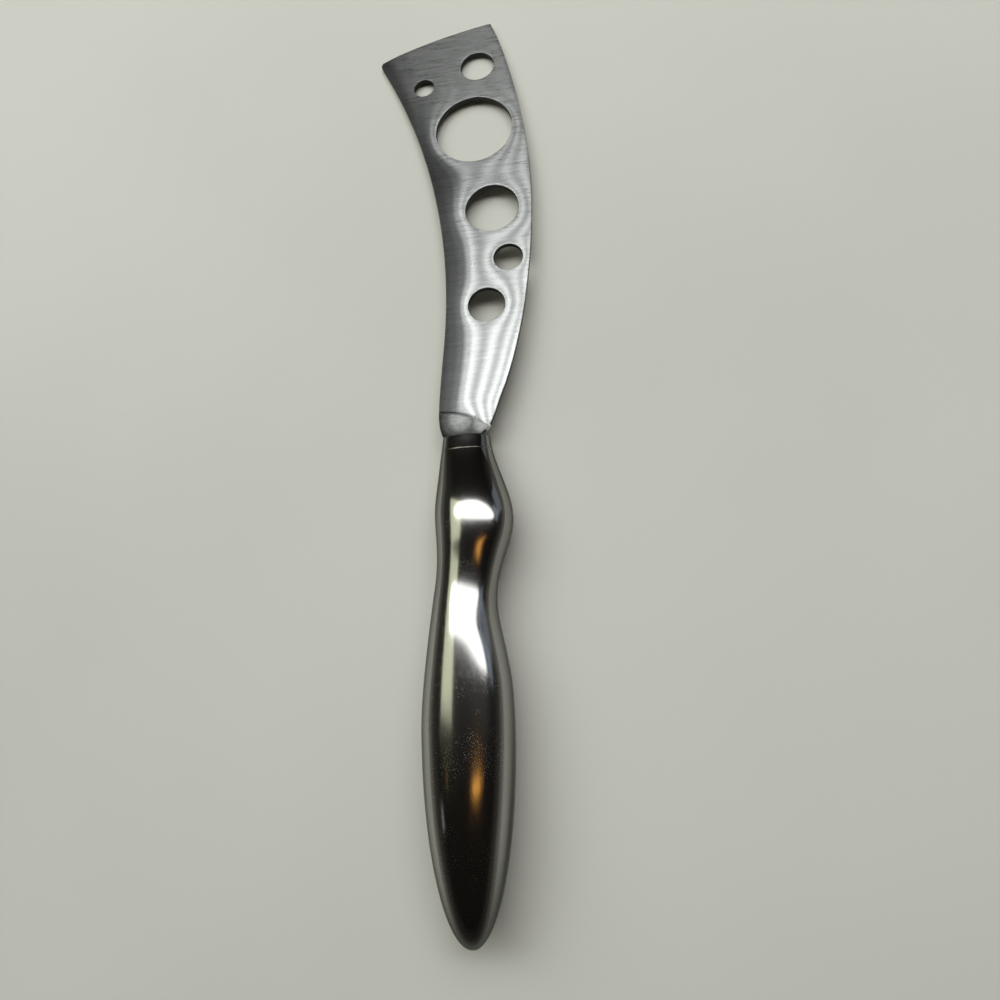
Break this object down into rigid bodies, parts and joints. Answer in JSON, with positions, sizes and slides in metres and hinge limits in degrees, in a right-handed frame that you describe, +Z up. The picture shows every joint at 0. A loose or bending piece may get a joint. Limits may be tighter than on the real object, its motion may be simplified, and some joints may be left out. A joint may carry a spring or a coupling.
{
  "type": "cheese knife",
  "caption": "Soft-cheese knife with a wide curved blade pierced by round holes and a hollow, waisted, mirror-polished steel handle.",
  "frame": {"origin": "middle of the knife's footprint, on the table it lies on", "axes": "+Y from the handle to the tip of the blade, +X towards the cutting edge's side, +Z up from the table; the knife lies on the end of its blade and the belly of its handle, so its own flat plane dips 2.4 degrees towards the tip"},
  "size_m": [0.0442, 0.2498, 0.0187],
  "materials": {
    "blade_steel": "stainless steel, brushed across the blade, with soft polished rims round the holes",
    "polished_steel": "stainless steel, polished to a mirror, with fine pits and hairline scratches",
    "weld_steel": "weld metal, ground flush and polished",
    "cement": "set cement inside the handle, never seen"
  },
  "bodies": {
    "root": {"blade": "blade_steel", "neck_collar": "polished_steel", "collar_weld": "weld_steel", "upper_shell": "polished_steel", "lower_shell": "polished_steel", "shell_weld": "weld_steel", "tang_cement": "cement"}
  },
  "joints": []
}
